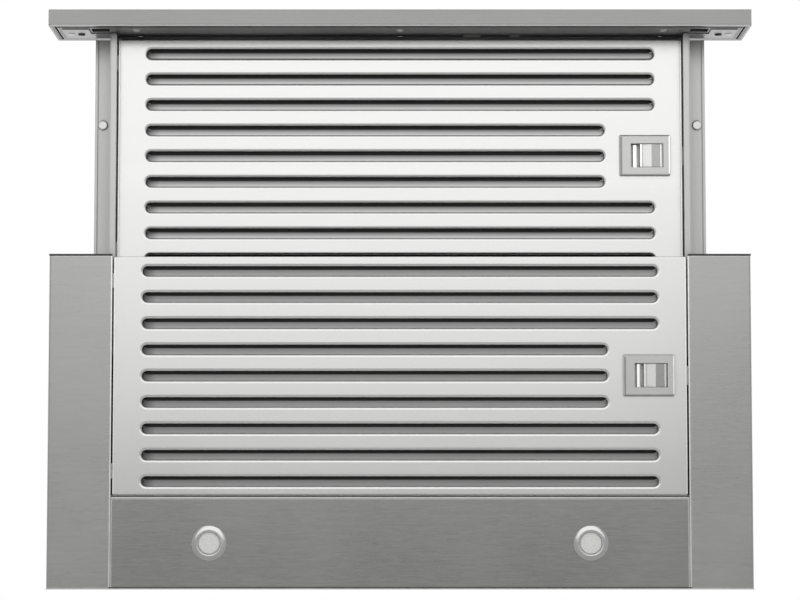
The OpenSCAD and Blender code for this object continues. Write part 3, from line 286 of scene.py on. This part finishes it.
def moulded(name, s, m):
    material, tree, shader = newTree(name)
    grain = objectNoise(tree, (s["grain"],) * 3, **m["grain"])
    cloud = objectNoise(tree, **m["cloud"])
    shade = product(tree, around(tree, grain, m["grainShare"] * s["mottle"]),
                    around(tree, cloud, s["mottle"]))
    rounded = roundedNormal(tree, m["roundRadius"])
    # painted highlight on the edges
    shade = product(tree, shade, paintedEdgeHighlight(tree, rounded, m["edgeHighlightPaint"]))
    # painted shade in grooves and corners
    if s["groove"] > 0.0:
        shade = product(tree, shade, grooveShade(tree, s["groove"], m["grooveReach"]))
    tree.links.new(tinted(tree, shade, s["color"]), shader.inputs["Base Color"])
    rough = product(tree, ranged(tree, cloud, *m["roughCloud"]), s["roughness"])
    tree.links.new(rough, shader.inputs["Roughness"])
    bump = node(tree, "Bump", {"Height": grain, "Strength": s["bump"], "Distance": m["bumpHigh"],
                               "Normal": rounded})
    tree.links.new(bump.outputs[0], shader.inputs["Normal"])
    shader.inputs["Metallic"].default_value = s["metal"]
    return material


lensSettings = dict(color=(0.93, 0.93, 0.91), roughness=0.35, dimplesPerMetre=1300.0, bump=0.5,
                    bumpHigh=0.25 * mm, dimpleShade=(0.70, 1.06), dimpleReach=0.7, coat=0.5,
                    coatRoughness=0.12)


def frostedLens(name, s):
    # pressed glass: a field of small dimples over a milky body
    material, tree, shader = newTree(name)
    cells = node(tree, "TexVoronoi", {"Vector": objectCoords(tree),
                                      "Scale": s["dimplesPerMetre"]}, feature="SMOOTH_F1")
    depth = cells.outputs["Distance"]
    bump = node(tree, "Bump", {"Height": depth, "Strength": s["bump"], "Distance": s["bumpHigh"]})
    shade = ranged(tree, depth, *s["dimpleShade"], 0.0, s["dimpleReach"])
    tree.links.new(tinted(tree, shade, s["color"]), shader.inputs["Base Color"])
    tree.links.new(bump.outputs[0], shader.inputs["Normal"])
    shader.inputs["Roughness"].default_value = s["roughness"]
    shader.inputs["Coat Weight"].default_value = s["coat"]
    shader.inputs["Coat Roughness"].default_value = s["coatRoughness"]
    return material


finishes = {name: steel(name, {**sheetFinish, **s}, brushing)
            for name, s in steelFinishes.items()}
finishes.update({name: moulded(name, {**mouldedFinish, **s}, moulding)
                 for name, s in plainFinishes.items()})
finishes["lensFinish"] = frostedLens("lensFinish", lensSettings)

finishOf = {
    "trayFinish": ["tray_shell"],
    "panelFinish": ["side_panel_left", "side_panel_right"],
    "lampPanelFinish": ["lamp_panel"],
    "filterFinish": ["drawer_filter_face", "body_filter_face"],
    "drawerBaffleFinish": ["drawer_filter_baffle"],
    "bodyBaffleFinish": ["body_filter_baffle"],
    "fasciaFinish": ["fascia_shell"],
    "backFinish": ["fascia_back"],
    "railFinish": ["drawer_rail_left", "drawer_rail_right"],
    "zincFinish": ["drawer_front_bar", "drawer_rear_bar", "runner_bracket_left",
                   "runner_bracket_right", "runner_outer_left", "runner_outer_right",
                   "runner_middle_left", "runner_middle_right", "runner_inner_left",
                   "runner_inner_right"],
    "boxFinish": ["motor_box_top", "motor_box_front", "motor_box_rear", "motor_box_left",
                  "motor_box_right"],
    "latchFinish": ["drawer_latch_bezel", "body_latch_bezel"],
    "sliderFinish": ["drawer_latch_slider", "body_latch_slider"],
    "ringFinish": ["lamp_bezel_left", "lamp_bezel_right"],
    "lensFinish": ["lamp_lens_left", "lamp_lens_right"],
    "lampBodyFinish": ["lamp_body_left", "lamp_body_right"],
    "motorFinish": ["motor"],
    "screwFinish": ["rail_screws", "fascia_screws", "box_screws", "collar_screws",
                    "motor_shaft"],
    "blackFinish": ["scroll_wrap", "scroll_left", "scroll_right", "impeller_disc",
                    "impeller_blades", "impeller_rings", "motor_bracket", "cable_gland"],
    "greyFinish": ["outlet_collar", "flap_left", "flap_right", "speed_button", "light_button"],
    "whiteFinish": ["control_box", "capacitor", "speed_switch", "light_switch"],
    "rubberFinish": ["drawer_buffers"],
    "meshFinish": ["drawer_filter_mesh", "body_filter_mesh"],
}
for finish, dressed in finishOf.items():
    for name in dressed:
        slots = nodes[name].data.materials
        slots.clear()
        slots.append(finishes[finish])
print("finishes on", sum(len(dressed) for dressed in finishOf.values()), "nodes")


# Small pieces that the scene adds: rims, a dark strip, latch ridges and lamp rings

sharpAngle = math.radians(40.0)
mergeDistance = 1e-7


def addPiece(name, points, faces, finish, body):
    mesh = bpy.data.meshes.new(name)
    mesh.from_pydata(points.tolist(), [], faces)
    made = bmesh.new()
    made.from_mesh(mesh)
    bmesh.ops.remove_doubles(made, verts=made.verts, dist=mergeDistance)
    bmesh.ops.recalc_face_normals(made, faces=made.faces)
    made.to_mesh(mesh)
    made.free()
    mesh.shade_smooth()
    mesh.set_sharp_from_angle(angle=sharpAngle)
    mesh.materials.append(finishes[finish])
    piece = bpy.data.objects.new(name, mesh)
    bpy.context.scene.collection.objects.link(piece)
    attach(piece, body)
    return piece


def gridFaces(rows, columns, closed=False):
    # quads of a grid of points, joined round its columns and, where closed, round its rows too
    i, j = np.meshgrid(np.arange(rows if closed else rows - 1), np.arange(columns), indexing="ij")
    nextI, nextJ = (i + 1) % rows, (j + 1) % columns
    quads = np.stack([i * columns + j, i * columns + nextJ, nextI * columns + nextJ,
                      nextI * columns + j], axis=2)
    return quads.reshape(-1, 4).tolist()


def cappedRings(rings):
    # quads between rings of points, with a cap on each end ring
    count = len(rings[0])
    faces = gridFaces(len(rings), count)
    faces.append(list(range(count)))
    faces.append([(len(rings) - 1) * count + j for j in range(count)])
    return np.concatenate(rings), faces


def barSection(side, height, power, steps=20):
    # superellipse |u|^power + |v|^power = 1, stretched between two sides and two heights
    turn = np.linspace(0.0, 2 * math.pi, steps, endpoint=False)
    u = np.sign(np.cos(turn)) * np.abs(np.cos(turn)) ** (2 / power)
    v = np.sign(np.sin(turn)) * np.abs(np.sin(turn)) ** (2 / power)
    return ((side[0] + side[1]) / 2 + (side[1] - side[0]) / 2 * u,
            (height[0] + height[1]) / 2 + (height[1] - height[0]) / 2 * v)


def addBars(name, bars, finish, body, power=5.0):
    # straight bars of that section, each along X or Y: (axis, from, to, sides, heights)
    points, faces, count = [], [], 0
    for axis, start, end, side, height in bars:
        across, up = barSection(side, height, power)
        along = [np.full(len(up), place) for place in (start, end)]
        rings = [np.stack([a, across, up] if axis == "x" else [across, a, up], axis=1)
                 for a in along]
        ringPoints, ringFaces = cappedRings(rings)
        points.append(ringPoints)
        faces += [[corner + count for corner in face] for face in ringFaces]
        count += len(ringPoints)
    return addPiece(name, np.concatenate(points), faces, finish, body)


def flipped(pair):
    return -pair[1], -pair[0]


def withMirrored(bars):
    # the bars, and the same bars on the left
    left = [(axis, *flipped((start, end)), side, height) if axis == "x"
            else (axis, start, end, flipped(side), height)
            for axis, start, end, side, height in bars]
    return bars + left


def offset(place, pair):
    # two places, measured from one
    return place + pair[0], place + pair[1]


# Bright strips beside the gaps round the filters, painted highlights of the folded edges

rimSettings = dict(wide=1.4 * mm, heights=(-0.05 * mm, 0.85 * mm), inset=1.0 * mm,
                   filterProud=0.05 * mm, panelProud=0.3 * mm)


def addFilterRim(which, body, s):
    low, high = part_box(which + "_filter_face")
    side = offset(high[0] + s["filterProud"], (-s["wide"], 0.0))
    bars = [("y", low[1] + s["inset"], high[1] - s["inset"], side, offset(low[2], s["heights"]))]
    addBars(which + "_filter_rim", withMirrored(bars), "filterRimFinish", body)


def addPanelRim(s):
    low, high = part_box("side_panel_right")
    side = offset(low[0] - s["panelProud"], (0.0, s["wide"]))
    bars = [("y", low[1] + s["inset"], high[1] - s["inset"], side, offset(low[2], s["heights"]))]
    addBars("panel_rim", withMirrored(bars), "panelRimFinish", "hood_body")


addFilterRim("body", "body_filter", rimSettings)
addFilterRim("drawer", "drawer", rimSettings)
addPanelRim(rimSettings)

# Dark strip along the body's front edge

darkStripSettings = dict(past=0.3 * mm, depths=(-0.9 * mm, 0.6 * mm), heights=(-0.1 * mm, 2.2 * mm))


def addFrontDarkStrip(s):
    low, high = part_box("side_panel_right")
    bars = [("x", low[0], high[0] + s["past"], offset(low[1], s["depths"]),
             offset(low[2], s["heights"]))]
    addBars("front_dark_strip", withMirrored(bars), "darkStripFinish", "hood_body")


addFrontDarkStrip(darkStripSettings)

# Bright strips on the edges of the lamp panel and on the ledge behind the body filter, painted
# highlights

lampRimSettings = dict(gap=0.5 * mm, sides=(-1.26 * mm, -0.05 * mm), fronts=(-0.2 * mm, 1.2 * mm),
                       ledgeDepths=(0.35 * mm, 0.95 * mm), ledgeHeights=(0.9 * mm, 6 * mm))


def addLampPanelRims(s, rim):
    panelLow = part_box("side_panel_right")[0]
    low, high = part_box("lamp_panel")
    edge = panelLow[0] - s["gap"]
    height = offset(panelLow[2], rim["heights"])
    bars = [("y", low[1], high[1] - rim["inset"], offset(edge, s["sides"]), height)]
    front = ("x", -edge, edge, offset(low[1], s["fronts"]), height)
    addBars("lamp_panel_rim", withMirrored(bars) + [front], "lampRimFinish", "hood_body")
    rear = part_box("body_filter_face")[1][1]
    ledge = ("x", -edge, edge, offset(rear, s["ledgeDepths"]),
             offset(panelLow[2], s["ledgeHeights"]))
    addBars("filter_rest", [ledge], "lampRimFinish", "hood_body")


addLampPanelRims(lampRimSettings, rimSettings)

# The fascia's rim, a bright strip painted as the highlight of its rear fold, and its hem; and the
# returns and liners in its ends, dark strips painted as shade, whose sections are almost square

fasciaSettings = dict(inset=1.0 * mm,
                      rimDepths=(-1.0 * mm, -0.05 * mm), rimHeights=(0.0, 0.85 * mm),
                      hemDepths=(-2.0 * mm, -0.9 * mm), hemHeights=(0.02 * mm, 0.85 * mm),
                      returnGap=1.0 * mm, returnEnd=-1.7 * mm, returnDepths=(-1.0 * mm, -0.2 * mm),
                      returnLow=3.4 * mm, returnHigh=-4 * mm,
                      linerSides=(249 * mm, 266 * mm), linerDepths=(-3.0 * mm, -2.3 * mm),
                      linerHeights=(12 * mm, 31 * mm), squarePower=30.0)


def addFasciaEdges(s):
    low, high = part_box("fascia_shell")
    rear, under = high[1], low[2]
    ends = (low[0] + s["inset"], high[0] - s["inset"])
    # the rim is a bright strip painted as the highlight of the rear fold
    rim = ("x", *ends, offset(rear, s["rimDepths"]), offset(under, s["rimHeights"]))
    addBars("fascia_rim", [rim], "fasciaRimFinish", "drawer")
    hem = ("x", *ends, offset(rear, s["hemDepths"]), offset(under, s["hemHeights"]))
    addBars("fascia_hem", [hem], "fasciaFinish", "drawer")
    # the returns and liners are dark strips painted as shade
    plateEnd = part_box("fascia_back")[1][0]
    returns = [("x", plateEnd + s["returnGap"], high[0] + s["returnEnd"],
                offset(rear, s["returnDepths"]),
                (under + s["returnLow"], high[2] + s["returnHigh"]))]
    addBars("fascia_return", withMirrored(returns), "paintedShadeReturnFinish", "drawer", s["squarePower"])
    liners = [("x", *s["linerSides"], offset(rear, s["linerDepths"]),
               offset(under, s["linerHeights"]))]
    addBars("fascia_liner", withMirrored(liners), "paintedShadeReturnFinish", "drawer", s["squarePower"])


addFasciaEdges(fasciaSettings)
print("rims and trim added")

# Lips of each latch's recess and thumb plate, bright strips painted as highlights; the thumb
# plate's ramp, darker as painted shade; and the bezel's bevels, dark as painted shade on the rear
# and left, with a painted highlight on the right edge

latchSettings = dict(half=9.9 * mm, faceHigh=1.9 * mm, border=6 * mm, lipPower=3.5,
                     lipSides=(-2.3 * mm, 0.1 * mm), lipHeights=(-1.25 * mm, 1.6 * mm),
                     endSides=(-2.6 * mm, -1.2 * mm), endHeights=(-0.55 * mm, 1.0 * mm),
                     scoopSides=(-8.0 * mm, -4.4 * mm), scoopHeights=(3.5 * mm, 4.3 * mm),
                     rampFrom=8 * mm, rampSlope=0.1134, rampThick=0.12 * mm,
                     bevelWide=1.6 * mm, bevelHeights=(-0.12 * mm, 0.8 * mm),
                     frontInset=1.0 * mm, sideInset=2.0 * mm, sideSides=(1.2 * mm, 2.4 * mm),
                     edgeSides=(-1.5 * mm, 0.2 * mm), edgePower=3.0)


def addRamp(name, x0, x1, z0, span, s, body):
    # thin plate on the outer slope of the thumb plate: z = z0 + slope (x - x0), from one
    # thickness below that line to one above it
    thick = s["rampThick"]
    lower = [(x0, z0 - thick), (x1, z0 - thick + s["rampSlope"] * (x1 - x0))]
    profile = np.array(lower + [(x, z + 2 * thick) for x, z in lower[::-1]])
    rings = [np.stack([profile[:, 0], np.full(len(profile), y), profile[:, 1]], axis=1)
             for y in span]
    points, faces = cappedRings(rings)
    # the ramp is painted darker than the thumb plate, as shade
    addPiece(name, points, faces, "paintedShadeRampFinish", body)


def addLatchRidges(which, filterBody, latchBody, s):
    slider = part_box(which + "_latch_slider")[0]
    low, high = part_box(which + "_latch_bezel")
    face = low[2] + s["faceHigh"]
    middle = (low[1] + high[1]) / 2
    span = offset(middle, (-s["half"], s["half"]))
    plateEnd = high[0] - s["border"]
    # the lips and the scoop are bright strips painted as highlights
    lips = [("y", *span, offset(slider[0], s["lipSides"]), offset(face, s["lipHeights"])),
            ("y", *span, offset(plateEnd, s["endSides"]), offset(face, s["endHeights"]))]
    addBars(which + "_latch_lip", lips, "paintedHighlightFinish", latchBody, s["lipPower"])
    scoop = ("y", *span, offset(slider[0], s["scoopSides"]), offset(face, s["scoopHeights"]))
    addBars(which + "_latch_scoop", [scoop], "paintedHighlightFinish", filterBody, s["lipPower"])
    addRamp(which + "_latch_ramp", slider[0] + s["rampFrom"], plateEnd + s["endSides"][0],
            slider[2], span, s, latchBody)
    # painted shade on the bezel's rear and left bevels; painted highlight on its right edge
    height = offset(low[2], s["bevelHeights"])
    rear = high[1] - s["bevelWide"]
    bevels = [("x", low[0] + s["frontInset"], high[0] - s["frontInset"], (rear, high[1]), height),
              ("y", low[1] + s["sideInset"], rear, offset(low[0], s["sideSides"]), height)]
    addBars(which + "_latch_bevel", bevels, "paintedShadeBevelFinish", filterBody)
    edge = ("y", low[1] + s["frontInset"], rear, offset(high[0], s["edgeSides"]), height)
    addBars(which + "_latch_edge", [edge], "paintedHighlightFinish", filterBody, s["edgePower"])


addLatchRidges("body", "body_filter", "body_latch", latchSettings)
addLatchRidges("drawer", "drawer", "drawer_latch", latchSettings)
print("latch ridges added")

# Crowned rings of the lamps, in place of the dished ones

ringSettings = dict(outer=15.0 * mm, crown=10.8 * mm, inner=9.5 * mm, seat=8.9 * mm,
                    barrel=12.7 * mm, wall=1.0 * mm, drop=1.45 * mm, lipStart=0.15,
                    lipHigh=0.2 * mm, seatLow=0.8 * mm, seatHigh=1.6 * mm, barrelHigh=10 * mm,
                    panelGap=0.02 * mm, steps=14, turns=96)


def addLampRing(side, s):
    # a profile of radius and height turned about the lamp's axis: the height is
    # -drop sin(pi/2 u) from the rim to the crown, then rises by (drop + lipHigh) (1 - cos(pi/2 v))
    low, high = (np.array(corner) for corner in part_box("lamp_bezel_" + side))
    axis = (low[:2] + high[:2]) / 2
    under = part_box("lamp_panel")[0][2]
    u = np.linspace(0.0, 1.0, s["steps"])
    crown = np.stack([s["outer"] - (s["outer"] - s["crown"]) * u,
                      -s["drop"] * np.sin(math.pi / 2 * u)], axis=1)
    v = np.linspace(s["lipStart"], 1.0, s["steps"] // 2)
    rise = (s["drop"] + s["lipHigh"]) * (1 - np.cos(math.pi / 2 * v))
    lip = np.stack([s["crown"] - (s["crown"] - s["inner"]) * np.sin(math.pi / 2 * v),
                    -s["drop"] + rise], axis=1)
    bore = s["barrel"] - s["wall"]
    rest = np.array([[s["seat"], s["seatLow"]], [s["seat"], s["seatHigh"]],
                     [bore, s["seatHigh"]], [bore, s["barrelHigh"]],
                     [s["barrel"], s["barrelHigh"]], [s["barrel"], s["panelGap"]],
                     [s["outer"], s["panelGap"]]])
    profile = np.concatenate([crown, lip, rest])
    turn = np.linspace(0.0, 2 * math.pi, s["turns"], endpoint=False)
    points = np.stack([axis[0] + np.outer(np.cos(turn), profile[:, 0]),
                       axis[1] + np.outer(np.sin(turn), profile[:, 0]),
                       np.broadcast_to(under + profile[:, 1], (s["turns"], len(profile)))],
                      axis=2).reshape(-1, 3)
    faces = gridFaces(s["turns"], len(profile), closed=True)
    ring = addPiece("lamp_ring_" + side, points, faces, "ringFinish", "hood_body")
    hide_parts("lamp_bezel_" + side)


for side in ("left", "right"):
    addLampRing(side, ringSettings)
print("lamp rings turned")


# Camera below the hood, where the photograph was taken

cameraSettings = dict(place=(0.0, 0.1046, -2.4319), tiltDegrees=5.0, focalPixels=2800.0,
                      imageWidth=800, sensorWidth=36.0, clipEnd=50.0)


def addCamera(s):
    data = bpy.data.cameras.new("camera")
    data.sensor_width = s["sensorWidth"]
    data.lens = s["focalPixels"] * s["sensorWidth"] / s["imageWidth"]
    data.clip_end = s["clipEnd"]
    camera = bpy.data.objects.new("camera", data)
    bpy.context.scene.collection.objects.link(camera)
    camera.location = s["place"]
    # it looks up and leans to the front; the top of the picture is the hood's front
    camera.rotation_euler = (math.radians(180.0 + s["tiltDegrees"]), 0.0, 0.0)
    bpy.context.scene.camera = camera


addCamera(cameraSettings)


# Light and floor

lightSettings = {
    # place, aim, size, radiance
    "frontSoftbox": dict(place=(0.0, -2.40, -2.50), aim=(0.0, -2.40, 0.0), size=(4.0, 4.0),
                         radiance=0.86),
    "lowSoftbox": dict(place=(-0.07, -0.25, -2.50), aim=(-0.07, -0.25, 0.0), size=(1.3, 0.34),
                       radiance=0.6),
    "topSoftbox": dict(place=(-0.6, -1.6, 2.4), aim=(0.0, -0.1, 0.0), size=(2.4, 2.4),
                       radiance=1.0),
}
floorSettings = dict(height=-2.60, half=9.0, color=(0.80, 0.80, 0.79), roughness=0.6,
                     specksPerMetre=40.0, speckDetail=4.0, speckRough=0.6, speckShade=0.01)
worldSettings = dict(seen=1.0, light=0.55)


def addSoftbox(name, s):
    # a lamp of even brightness: its power is radiance times pi times area
    data = bpy.data.lights.new(name, "AREA")
    data.shape = "RECTANGLE"
    data.size, data.size_y = s["size"]
    data.energy = s["radiance"] * math.pi * s["size"][0] * s["size"][1]
    lamp = bpy.data.objects.new(name, data)
    bpy.context.scene.collection.objects.link(lamp)
    lamp.location = s["place"]
    away = np.array(s["place"]) - np.array(s["aim"])
    lamp.rotation_euler = (math.atan2(math.hypot(away[0], away[1]), away[2]), 0.0,
                           math.atan2(away[0], -away[1]))
    lamp.visible_camera = False


def addFloor(s):
    half, height = s["half"], s["height"]
    mesh = bpy.data.meshes.new("floor")
    mesh.from_pydata([(-half, -half, height), (half, -half, height), (half, half, height),
                      (-half, half, height)], [], [(0, 1, 2, 3)])
    material, tree, shader = newTree("floorPaint")
    speck = objectNoise(tree, (s["specksPerMetre"],) * 3, s["speckDetail"], s["speckRough"])
    shade = around(tree, speck, s["speckShade"])
    tree.links.new(tinted(tree, shade, s["color"]), shader.inputs["Base Color"])
    shader.inputs["Roughness"].default_value = s["roughness"]
    mesh.materials.append(material)
    floor = bpy.data.objects.new("floor", mesh)
    bpy.context.scene.collection.objects.link(floor)


def addWorld(s):
    # white where the camera, gloss or glass looks at it, softer as a light
    world = bpy.data.worlds.new("studio")
    bpy.context.scene.world = world
    world.use_nodes = True
    tree = world.node_tree
    tree.nodes.clear()
    path = node(tree, "LightPath").outputs
    seen = node(tree, "Math", {0: path["Is Camera Ray"], 1: path["Is Glossy Ray"]},
                operation="MAXIMUM")
    seen = node(tree, "Math", {0: seen.outputs[0], 1: path["Is Transmission Ray"]},
                operation="MAXIMUM")
    strength = ranged(tree, seen.outputs[0], s["light"], s["seen"], 0.0, 1.0)
    background = node(tree, "Background", {"Color": (1.0, 1.0, 1.0, 1.0), "Strength": strength})
    output = node(tree, "OutputWorld")
    tree.links.new(background.outputs[0], output.inputs["Surface"])


for name, s in lightSettings.items():
    addSoftbox(name, s)
addFloor(floorSettings)
addWorld(worldSettings)
bpy.context.scene.view_settings.view_transform = "Standard"
print("camera, lamps, floor and world set")
